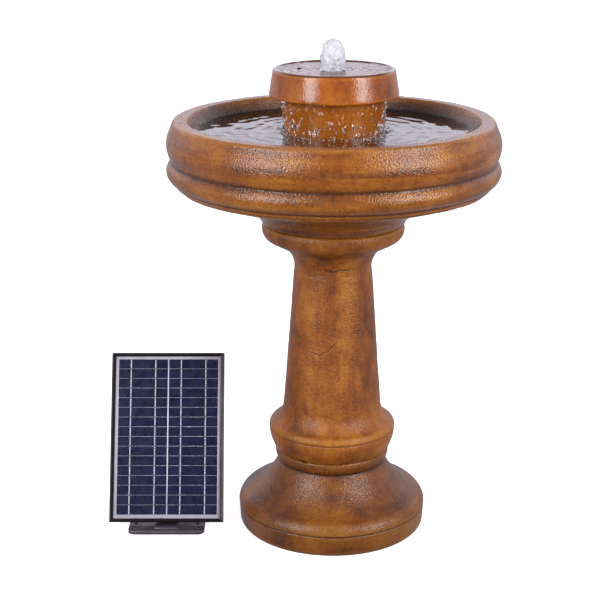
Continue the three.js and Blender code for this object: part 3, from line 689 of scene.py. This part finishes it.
def make_column():
    def relief(points, angles):
        push = hand_made(points, 21) * visible_only(points, COLUMN_PLAIN_R)
        chips = chipped_edges(points, angles, (161.0, 5, 12, 0.6), (129.6, 6, 16, 1.0),
                              (492.0, 7, 10, 0.7))
        chips = chips + dent(points, angles, (32, 418.5), (1.6, 2.6), 0.9)
        chips = chips + dent(points, angles, (33, 407.0), (1.2, 3.4), 0.8)
        lines = crack(points, angles, UPPER_CRACK, 0.7, 1.3)
        lines = lines + crack(points, angles, LOWER_CRACK, 0.6, 0.9)
        lines = lines + dent(points, angles, (-7.5, 431), (6.5, 1.6), 1.1)
        # Painted shade in the chips and along the cracks.
        dark = chips * CHIP_DARKNESS + CRACK_DARKNESS * np.sqrt(np.clip(lines, 0, 1))
        return push - chips - lines, dark

    def longest(point):
        if point[0] < COLUMN_PLAIN_R:
            return 14.0
        cracked = any(low < point[1] < high for low, high in CRACKED_HEIGHTS)
        return 1.0 if cracked else 4.0

    angles = crowded_angles(FRONT - 34, FRONT + 40, 0.7, 2.2)
    column = turn_outline("column_stone", column_outline(), angles, relief, STONE_COLUMN,
                          SEAM_ROUNDING, longest)
    finish_piece(column, "pedestal", "cast_stone", "column_casting")


BASIN_EDGE_R = 221  # the inner edge of the rim
BASIN_LOWEST = 550  # a height just under the basin's floor
TIDE_Z = 639  # the stone is wet, and painted in shade, up to about here
TIDE_FADE = 14


def make_bowl():
    def relief(points, angles):
        shown = visible_only(points, BOWL_PLAIN_R)
        push = hand_made(points, 31, 1.25) * shown
        chips = shown * chipped_edges(points, angles, (593.5, 8, 16, 0.7), (652.0, 9, 12, 0.9),
                                      (562.0, 10, 14, 0.7))
        # Painted shade in the chips.
        return push - chips, chips * CHIP_DARKNESS

    # Wet stone over the basin's inner wall up to the tide, darkened also as painted shade.
    def soaked_and_shaded(points):
        radius = np.hypot(points[..., 0], points[..., 1])
        height = points[..., 2]
        inside = np.clip((BASIN_EDGE_R - radius) / 2, 0, 1) * (height > BASIN_LOWEST)
        tide = TIDE_Z + 3 * noise(points, 40.0, 33) + 1.5 * noise(points, 12.0, 34)
        return inside * np.clip(0.7 + (tide - height) / TIDE_FADE, 0, 1)

    def longest(point):
        return FINE_STEP if point[0] > BOWL_PLAIN_R - 1 else COARSE_STEP

    bowl = turn_outline("bowl_stone", bowl_outline(), even_angles(360), relief, STONE_BOWL,
                        SEAM_ROUNDING, longest, soaked_and_shaded)
    finish_piece(bowl, "bowl", "cast_stone", "bowl_casting")


HEAD_BAND_Z = 685  # under the band, the head's body is lightened by a painted highlight for its wet gloss
HEAD_LIP_Z = 725.5  # over this height, the lip is dark with water and painted shade
INLET_HALF = 11  # the four inlets at the head's foot
INLET_REACH = 90
INLET_Z = (557, 572.3)


def make_head():
    def relief(points, angles):
        push = hand_made(points, 41, 0.9) * visible_only(points, HEAD_PLAIN_R)
        chips = ring_of_chips(points, angles, 689.0, 12, 12, 0.8)
        # Painted shade in the chips; a painted highlight lightens the head's body under its band.
        painted_lift = 0.9 * (points[..., 2] < HEAD_BAND_Z)
        return push - chips, chips * CHIP_DARKNESS - painted_lift

    # The lip, dark as wet stone and as painted shade.
    def soaked_and_shaded(points):
        tide = HEAD_LIP_Z + 0.8 * noise(points, 14.0, 43)
        return 0.85 * np.clip((points[..., 2] - tide) / 1.5, 0, 1)

    def longest(point):
        return FINE_STEP if point[0] > HEAD_PLAIN_R + 2 else COARSE_STEP

    head = turn_outline("head_stone", head_outline(), even_angles(240), relief, STONE_HEAD,
                        HEAD_ROUNDING, longest, soaked_and_shaded)
    width = (-INLET_HALF, INLET_HALF)
    through = (-INLET_REACH, INLET_REACH)
    across = block("inlet_tool_x", through, width, INLET_Z, centre=AXIS)
    along = block("inlet_tool_y", width, through, INLET_Z, centre=AXIS)
    carve(head, across, along)
    finish_piece(head, "head", "wet_stone", "fountain_head")


# ---- water ----

WATER_Z = 635.0
BASIN_DEPTH = 78.0
BASIN_WATER_R = 213.0  # just inside the stone of the basin's wall
RISER_R = 6.0  # the basin's water stands all round the riser tube
DISH_WATER_Z = 727.6
DISH_DEPTH = 12.6
DISH_WATER_R = (9.2, 84.4)  # from the nozzle to just inside the stone of the lip
HEAD_R = 76.0  # the head's radius where the basin's water meets it


def water_ring(name, inner, outer, level, depth, height, rings, steps):
    """A closed body of water between two radii, whose top is shaped by height(x, y, r). Its floor and
    its outer side are inside the stone, so that only its top is seen."""
    angles = even_angles(steps)
    radii = np.linspace(inner, outer, rings)
    x = np.cos(angles)[:, None] * radii
    y = np.sin(angles)[:, None] * radii
    top = np.stack([x, y, level + height(x, y, np.hypot(x, y))], -1)
    floor_rings = 8
    low_radii = np.linspace(inner, outer, floor_rings)
    low_x = np.cos(angles)[:, None] * low_radii
    low_y = np.sin(angles)[:, None] * low_radii
    bottom = np.stack([low_x, low_y, np.full(low_x.shape, level - depth)], -1)
    section = np.concatenate([top[:, ::-1], bottom], 1)
    faces = grid_faces(steps, section.shape[1])
    return add_mesh(name, section, faces, [BASIN_WATER], AXIS)


def basin_waves(x, y, r):
    """Rings that run out from the head, broken by wind-like ripples."""
    place = np.stack([x, y, np.zeros_like(x)], -1)
    bend = 6.0 * noise(place, 38.0, 51)
    away = np.abs(r - HEAD_R)
    rings = 0.32 * np.sin((r + bend) / 3.6) * np.exp(-away / 80)
    chop = 0.34 * noise(place, 27.0, 52) + 0.15 * noise(place, 12.0, 53)
    splash = 0.8 * noise(place, 6.0, 54) * np.exp(-away / 8)
    return rings + chop + splash


def dish_waves(x, y, r):
    """Close rings that run out from the jet."""
    place = np.stack([x, y, np.zeros_like(x)], -1)
    bend = 2.5 * noise(place, 22.0, 61)
    rings = 0.34 * np.sin((r + bend) / 2.2) * np.exp(-r / 60)
    return rings + 0.16 * noise(place, 9.0, 62)


def make_water():
    basin = water_ring("basin_water_sheet", RISER_R, BASIN_WATER_R, WATER_Z, BASIN_DEPTH, basin_waves,
                       150, 400)
    finish_piece(basin, "bowl", "water")
    dish = water_ring("head_water_sheet", *DISH_WATER_R, DISH_WATER_Z, DISH_DEPTH, dish_waves, 64, 240)
    finish_piece(dish, "head", "water")


def ball(centre, radius, stretch, seed, steps=10, roughness=0.0):
    """Points and faces of a small lumpy ball, for drops and foam."""
    lat = np.linspace(0, math.pi, steps + 1)[1:-1]
    lon = even_angles(steps * 2)
    unit = np.stack([np.sin(lat)[:, None] * np.cos(lon), np.sin(lat)[:, None] * np.sin(lon),
                     np.cos(lat)[:, None] * np.ones_like(lon)], -1).reshape(-1, 3)
    unit = np.concatenate([unit, [[0, 0, 1], [0, 0, -1]]])
    size = radius * (1 + roughness * noise(unit * 10 + seed * 3.7, 6.0, seed))
    points = unit * size[:, None] * np.array(stretch) + np.array(centre)
    rows, columns = steps - 1, steps * 2
    faces = [face[::-1] for face in grid_faces(rows, columns, False).tolist()]
    top, bottom = rows * columns, rows * columns + 1
    for j in range(columns):
        following = (j + 1) % columns
        faces.append([top, j, following])
        faces.append([bottom, (rows - 1) * columns + following, (rows - 1) * columns + j])
    return points, faces


def polar(angle, reach, z, x=0.0):
    """A place at an angle and a distance from an upright line through x."""
    return x + reach * math.cos(angle), reach * math.sin(angle), z


def remesh(piece, voxel, smoothing):
    """Fuses a piece's parts into one skin, and smooths it."""
    modifier = piece.modifiers.new("remesh", "REMESH")
    modifier.mode = "VOXEL"
    modifier.voxel_size = voxel
    modifier.use_smooth_shade = True
    soften = piece.modifiers.new("soften", "SMOOTH")
    soften.iterations = smoothing
    apply_modifiers(piece)


JET_X = -2.0  # the jet stands this far to the left of the axis
JET_R = 19.2
JET_LOW, JET_HIGH = 730, 768
DOME_Z = 746  # over this height, the jet closes in a dome
DOME_HEIGHT = 25.0
JET_LUMPS = (  # x, z, radius, height to width, seed, roughness
    (0.0, 731, 17.8, 0.6, 4, 0.1),
    (0.0, 740, JET_R, 0.8, 1, 0.08),
    (0.5, 749, 18.4, 1.0, 2, 0.08),
    (0.0, 757, 14.6, 1.0, 3, 0.1),
)
JET_BEADS = 150
JET_FROTH = 90


def make_jet():
    """A short frothy bubble of water over the nozzle, with froth on the water round its foot."""
    random = np.random.default_rng(17)
    lumps = [ball((JET_X + x, 0, z), radius, (1, 1, tall), seed, 16, roughness)
             for x, z, radius, tall, seed, roughness in JET_LUMPS]
    for i in range(JET_BEADS):
        angle = random.uniform(0, 2 * math.pi)
        z = random.uniform(JET_LOW, JET_HIGH)
        dome = JET_R * math.sqrt(max(0, 1 - (max(z, DOME_Z) - DOME_Z) ** 2 / DOME_HEIGHT ** 2))
        reach = dome * random.uniform(0.86, 0.98)
        size = random.uniform(0.9, 2.4)
        tall = random.uniform(1.0, 2.4)
        lumps.append(ball(polar(angle, reach, z, JET_X), size, (1, 1, tall), i, 6))
    for i in range(JET_FROTH):
        angle = random.uniform(0, 2 * math.pi)
        reach = 16 + 15 * random.uniform(0, 1) ** 1.5
        size = random.uniform(1.2, 3.4)
        lumps.append(ball(polar(angle, reach, DISH_WATER_Z, JET_X), size, (1.3, 1.3, 0.5), i, 6))
    jet = gather("jet", lumps, FOAM)
    remesh(jet, 0.001, 4)
    finish_piece(jet, "head", "water")
    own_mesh(jet)


def head_radius(z):
    """The outside of the head's lower body at a height."""
    foot_r, foot_z = HEAD_FOOT
    shoulder_r, shoulder_z = HEAD_SHOULDER
    return foot_r + (z - foot_z) / (shoulder_z - foot_z) * (shoulder_r - foot_r)


SMALL_DROPS = 420
LARGE_DROPS = 150
SPLASHES = 170


def make_drops():
    """Beads and runs of water on the head's lower body, and splashes in the basin round its foot."""
    random = np.random.default_rng(23)
    parts = []
    for i in range(SMALL_DROPS):
        angle = random.uniform(0, 2 * math.pi)
        z = WATER_Z + 2 + 52 * random.uniform(0, 1) ** 1.6
        size = random.uniform(0.5, 1.3) + 1.1 * random.uniform(0, 1) ** 4
        tall = random.uniform(1.2, 3.2) if random.uniform() < 0.5 else 1.0
        place = polar(angle, head_radius(z) + 0.1, z)
        parts.append(ball(place, size, (1, 1, tall), i, 5, 0.15))
    for i in range(LARGE_DROPS):
        angle = random.uniform(0, 2 * math.pi)
        z = WATER_Z + 4 + 44 * random.uniform(0, 1) ** 1.8
        size = random.uniform(1.8, 3.6)
        tall = random.uniform(0.9, 2.2)
        place = polar(angle, head_radius(z) - 0.55 * size, z)
        parts.append(ball(place, size, (1, 1, tall), i, 7, 0.2))
    drops = gather("head_drops", parts, DROP_WATER)
    finish_piece(drops, "head", "water")
    parts = []
    for i in range(SPLASHES):
        angle = random.uniform(0, 2 * math.pi)
        place = polar(angle, HEAD_R + 0.5 + random.uniform(0, 7) ** 1.2, WATER_Z + 0.6)
        size = random.uniform(0.5, 2.0)
        parts.append(ball(place, size, (1.2, 1.2, 0.8), i, 5, 0.15))
    splash = gather("basin_splash", parts, DROP_WATER)
    finish_piece(splash, "bowl", "water")


# ---- solar panel ----

LEAN = math.radians(26)  # the panel's lean back at rest
PANEL_W = 181.0
PANEL_H = 271.0
PANEL_D = 20.0
HINGE_IN_PANEL = Vector((0, 0.038, 0.038))  # behind the face, and above the lower edge
HINGE = Vector(next(joint["pos_m"] for joint in frame["joints"] if joint["name"] == "panel_tilt"))
PANEL_TURN = Matrix.Rotation(-LEAN, 4, "X")
PANEL = Matrix.Translation(HINGE - PANEL_TURN @ HINGE_IN_PANEL) @ PANEL_TURN


def place_on_panel(piece):
    """Moves a mesh from the panel's own upright frame to its place on the leaning panel."""
    piece.data.transform(PANEL)
    piece.data.update()


def bevel(piece, width):
    """Rounds a piece's sharp edges."""
    modifier = piece.modifiers.new("bevel", "BEVEL")
    modifier.width = width * MM
    modifier.segments = 2
    modifier.limit_method = "ANGLE"
    modifier.angle_limit = math.radians(30)
    apply_modifiers(piece)


def smooth_by_angle(piece, angle=38.0):
    """Shades a piece smooth, except over edges sharper than the angle."""
    piece.data.polygons.foreach_set("use_smooth", [True] * len(piece.data.polygons))
    piece.data.set_sharp_from_angle(angle=math.radians(angle))


BAR_W = 6  # the frame's width as seen on the panel's face
EDGE_R = 1.6  # the rounding of its outer edge
MITRE_GAP = 0.2  # what each bar is short of its corner


def frame_section():
    """The channel's section: inwards from the edge, and back from the face."""
    corner = [(EDGE_R - EDGE_R * math.sin(t), EDGE_R - EDGE_R * math.cos(t))
              for t in np.linspace(0, math.pi / 2, 6)]
    front = [(5.2, 0), (5.8, 0.25), (BAR_W, 0.8), (BAR_W, 1.6), (2, 1.6), (2, 7.2), (BAR_W, 7.2),
             (BAR_W, 8.8), (2, 8.8)]
    rear = [(2, PANEL_D - 1.6), (10, PANEL_D - 1.6), (10, PANEL_D), (0.8, PANEL_D),
            (0.24, PANEL_D - 0.24), (0, PANEL_D - 0.8)]
    return corner[:1] + front + rear + corner[:0:-1]


def mitred_bar(name, length, material):
    """A frame bar along X whose ends are cut at 45 degrees."""
    section = frame_section()
    half = length / 2 - MITRE_GAP
    points = [(end * (half - inward), depth, inward) for end in (-1, 1) for inward, depth in section]
    count = len(section)
    faces = [[i, i + count, (i + 1) % count + count, (i + 1) % count] for i in range(count)]
    faces.append(list(range(count)))
    faces.append(list(range(2 * count - 1, count - 1, -1)))
    bar = add_mesh(name, points, faces, [material])
    fix_facing(bar)
    return bar


def fix_facing(piece):
    """Turns a closed mesh's faces outwards."""
    work = bmesh.new()
    work.from_mesh(piece.data)
    bmesh.ops.recalc_face_normals(work, faces=work.faces)
    work.to_mesh(piece.data)
    work.free()


def make_frame():
    places = {
        "frame_bottom": (PANEL_W, 0, (0, 0, 0)),
        "frame_top": (PANEL_W, math.pi, (0, 0, PANEL_H)),
        "frame_left": (PANEL_H, math.pi / 2, (-PANEL_W / 2, 0, PANEL_H / 2)),
        "frame_right": (PANEL_H, -math.pi / 2, (PANEL_W / 2, 0, PANEL_H / 2)),
    }
    for node, (length, turn, middle) in places.items():
        # The right bar takes the lighter finish, a painted reflection.
        bar = mitred_bar(node + "_bar", length, PAINTED_REFLECTION_ANODISED if node == "frame_right" else ANODISED)
        bar.data.transform(Matrix.Translation(Vector(middle) * MM) @ Matrix.Rotation(turn, 4, "Y"))
        place_on_panel(bar)
        smooth_by_angle(bar, 40)
        finish_piece(bar, "panel", "panel_frame", node)


CELL_ROWS = 16
BORDER_SIDE = 4.6  # the white sheet that shows beside the cells
BORDER_TOP = 4.6
BORDER_BOTTOM = 6.0
CELL_GAP = 0.4
COLUMN_GAP = 2.0
CELLS_ASIDE = 0.8  # how far right of the middle the cells sit
BUSBAR_W = 1.6
BUSBAR_END = 0.8  # what a strip is short of its cell's edges
SHEET_EDGE = 2.3  # from the panel's edge to the sheet's
GLASS_Y = 1.9  # how far the strips, the foremost, are behind the face
SHEET_BACK_Y = 6.9


def make_face():
    """The laminate: a white sheet, two columns of cut cells and their silver strips. It also stands
    for the glass, so its surfaces have the glass's gloss as their coats."""
    sheet = block("panel_sheet", (-PANEL_W / 2 + SHEET_EDGE, PANEL_W / 2 - SHEET_EDGE),
                  (GLASS_Y + 0.25, SHEET_BACK_Y), (SHEET_EDGE, PANEL_H - SHEET_EDGE), [BACKSHEET])
    fix_facing(sheet)
    place_on_panel(sheet)
    finish_piece(sheet, "panel", "panel_cells", "cell_laminate", "cover_glass")
    near = COLUMN_GAP / 2
    far = PANEL_W / 2 - BAR_W - BORDER_SIDE
    low = BAR_W + BORDER_BOTTOM
    high = PANEL_H - BAR_W - BORDER_TOP
    pitch = (high - low + CELL_GAP) / CELL_ROWS
    cells = []
    strips = []
    for side in (-1, 1):
        edges = sorted((CELLS_ASIDE + side * near, CELLS_ASIDE + side * far))
        for row in range(CELL_ROWS):
            z = low + row * pitch
            top = z + pitch - CELL_GAP
            cells.append(slab(edges, (GLASS_Y + 0.1, GLASS_Y + 0.4), (z, top)))
            for share in (0.25, 0.75):
                x = edges[0] + (edges[1] - edges[0]) * share
                strips.append(slab((x - BUSBAR_W / 2, x + BUSBAR_W / 2), (GLASS_Y, GLASS_Y + 0.2),
                                   (z + BUSBAR_END, top - BUSBAR_END)))
    for name, parts, material in (("solar_cells", cells, SOLAR_CELL), ("solar_busbars", strips, BUSBAR)):
        piece = gather(name, parts, material, (0, 0, 0))
        fix_facing(piece)
        place_on_panel(piece)
        smooth_by_angle(piece, 30)
        finish_piece(piece, "panel", "panel_cells")


# ---- moulded, turned and pressed pieces ----

def four(name):
    """The names of four like nodes."""
    return tuple(f"{name}_{i}" for i in range(1, 5))


# For each material: the slot, the rounding of the edges in millimetres, and the CAD nodes.
MOULDED = {
    PLASTIC: ("black_plastic", 0.5, ("stand_foot", "tilt_bracket", "junction_box", "junction_box_lid",
                                     "pump_housing", "volute_cover", "strainer_cover", "flow_dial",
                                     "nozzle_lock_nut", "nozzle", "riser_tube")),
    RUBBER: ("black_rubber", 0.35, ("cable_stopper", "head_plug", "nozzle_washer", "pump_cable_gland",
                                    "panel_cable_gland", *four("pump_foot"))),
    STEEL: ("steel", 0.2, ("hinge_bolt", "washer_left", "washer_right", "wing_nut",
                           *four("lid_screw"), *four("bracket_screw"))),
}
# Nodes that are inside others, and only take a material.
PLAIN = {
    PLASTIC: four("corner_key"),
    RUBBER: ("seal_ring", "front_bush", "rear_bush"),
    CERAMIC: ("rotor_shaft", "terminal_block"),
    MAGNET: ("impeller",),
}
PLUG_TOP = 729.2  # just over the head's water


def body_of(node):
    """The body that a CAD node rides."""
    for body, members in frame["record"]["behaviour"]["bodies"].items():
        if node in members:
            return body


def softened_copy(node, material, slot, width):
    """A copy of a CAD node with its edges rounded, which stands for it."""
    mesh = frame["nodes"][node].data.copy()
    mesh.materials.clear()
    mesh.materials.append(material)
    piece = new_object(node + ".finished", mesh)
    work = bmesh.new()
    work.from_mesh(mesh)
    bmesh.ops.remove_doubles(work, verts=work.verts, dist=0.00002)
    bmesh.ops.dissolve_limit(work, angle_limit=math.radians(1.0), verts=work.verts, edges=work.edges)
    work.to_mesh(mesh)
    work.free()
    bevel(piece, width)
    smooth_by_angle(piece)
    finish_piece(piece, body_of(node), slot, node)


def raise_plug():
    """Stretches the copied plug so that its crown stands out of the head's water."""
    plug = bpy.data.objects["head_plug.finished"]
    low = min(vertex.co.z for vertex in plug.data.vertices)
    high = max(vertex.co.z for vertex in plug.data.vertices)
    stretch = (PLUG_TOP * MM - low) / (high - low)
    plug.data.transform(Matrix.Translation((0, 0, low)) @ Matrix.Diagonal((1, 1, stretch, 1))
                        @ Matrix.Translation((0, 0, -low)))


def make_small_pieces():
    for material, (slot, width, nodes) in MOULDED.items():
        for node in nodes:
            softened_copy(node, material, slot, width)
    raise_plug()
    for material, nodes in PLAIN.items():
        for node in nodes:
            mesh = frame["nodes"][node].data
            mesh.materials.clear()
            mesh.materials.append(material)


# ---- floor, light and camera ----


FLOOR_SIDE = (-45000, 45000)
FLOOR_Z = (-20, -0.05)
LIGHT_TARGET = Vector((AXIS_X, 0, 0.5))  # all the lights face this place


def make_floor():
    """A white floor out to the horizon."""
    s = Shader("studio_floor", Specular_IOR_Level=0.1, Emission_Strength=0.75,
               Emission_Color=(1, 0.99, 1, 1))
    tone = s.ramp(s.noise(2.0), (0.3, (0.86, 0.855, 0.87)), (0.7, (0.88, 0.875, 0.89)))
    material = s.out(Base_Color=tone, Roughness=0.85)
    floor = block("studio_floor", FLOOR_SIDE, FLOOR_SIDE, FLOOR_Z, [material])
    fix_facing(floor)
    floor.visible_diffuse = False
    floor.visible_glossy = False


def soft_box(name, azimuth, elevation, distance, width, height, power, colour=(1, 1, 1)):
    """An area light that faces the bath. Azimuth runs from the front, positive to the right."""
    light = bpy.data.lights.new(name, "AREA")
    light.shape = "RECTANGLE"
    light.size = width
    light.size_y = height
    light.energy = power
    light.color = colour
    piece = new_object(name, light)
    turn = math.radians(azimuth)
    rise = math.radians(elevation)
    offset = Vector((math.sin(turn) * math.cos(rise), -math.cos(turn) * math.cos(rise), math.sin(rise)))
    piece.location = LIGHT_TARGET + offset * distance
    piece.rotation_euler = (-offset).to_track_quat("-Z", "Y").to_euler()
    piece.visible_camera = False
    return piece


def shade_world(tree):
    """A studio that is white to the camera. To the bath it is dim in front, where its gloss looks,
    bright behind it in a band over the horizon, and of middling brightness overhead."""
    direction = tree.nodes.new("ShaderNodeTexCoord").outputs["Generated"]
    parts = tree.nodes.new("ShaderNodeSeparateXYZ")
    tree.links.new(direction, parts.inputs[0])

    def step(value, low, high, new_low, new_high):
        node = tree.nodes.new("ShaderNodeMapRange")
        node.interpolation_type = "SMOOTHSTEP"
        tree.links.new(value, node.inputs["Value"])
        node.inputs["From Min"].default_value = low
        node.inputs["From Max"].default_value = high
        node.inputs["To Min"].default_value = new_low
        node.inputs["To Max"].default_value = new_high
        return node.outputs["Result"]

    def combine(operation, a, b):
        node = tree.nodes.new("ShaderNodeMath")
        node.operation = operation
        tree.links.new(a, node.inputs[0])
        tree.links.new(b, node.inputs[1])
        return node.outputs[0]

    sides = step(parts.outputs["Y"], -0.6, -0.2, 0.2, 0.62)
    low_back = step(parts.outputs["Z"], 0.4, 0.65, 1.0, 0.0)
    risen = step(parts.outputs["Z"], 0.145, 0.19, 0.0, 1.0)
    behind = step(parts.outputs["Y"], 0.1, 0.5, 0.0, 0.78)
    back = combine("MULTIPLY", behind, combine("MULTIPLY", low_back, risen))
    top = step(parts.outputs["Z"], 0.6, 0.95, 0.0, 0.4)
    dim = step(parts.outputs["Z"], 0.33, 0.55, 1.0, 0.5)
    above = step(parts.outputs["Z"], -0.15, 0.0, 0.75, 1.0)
    level = combine("ADD", combine("MULTIPLY", sides, dim), back)
    strength = combine("MULTIPLY", combine("ADD", level, top), above)
    seen = tree.nodes.new("ShaderNodeLightPath").outputs["Is Camera Ray"]
    strength = combine("MAXIMUM", strength, step(seen, 0.0, 1.0, 0.0, 1.1))
    tree.links.new(strength, tree.nodes["Background"].inputs["Strength"])


def make_light():
    world = bpy.data.worlds.new("studio")
    world.use_nodes = True
    world.node_tree.nodes["Background"].inputs["Color"].default_value = (0.98, 0.94, 1.05, 1)
    shade_world(world.node_tree)
    bpy.context.scene.world = world
    side = {"elevation": 23, "distance": 2.6, "width": 0.95, "height": 1.95, "power": 62}
    soft_box("left_box", azimuth=-46, **side)
    soft_box("right_box", azimuth=52, **side)
    soft_box("back_card", azimuth=180, elevation=19, distance=2.6, width=2.4, height=1.0, power=2.5,
             colour=(0.93, 0.87, 1.0))
    fill = soft_box("front_fill", azimuth=6, elevation=-10, distance=2.8, width=2.6, height=1.2,
                    power=44, colour=(1, 0.97, 0.93))
    fill.visible_glossy = False
    bpy.context.scene.view_settings.view_transform = "Standard"


CAMERA_PLACE = (0, -2.158, 1.036)
LOOKS_DOWN = 17.2  # degrees


def make_camera():
    camera = bpy.data.cameras.new("photo_camera")
    camera.sensor_width = 36
    camera.lens = 87
    camera.clip_end = 120
    piece = new_object("photo_camera", camera)
    piece.location = CAMERA_PLACE
    piece.rotation_euler = (math.radians(90 - LOOKS_DOWN), 0, 0)
    bpy.context.scene.camera = piece


make_camera()
make_light()
make_floor()
make_base()
make_column()
make_bowl()
make_head()
make_water()
make_jet()
make_drops()
make_frame()
make_face()
make_small_pieces()
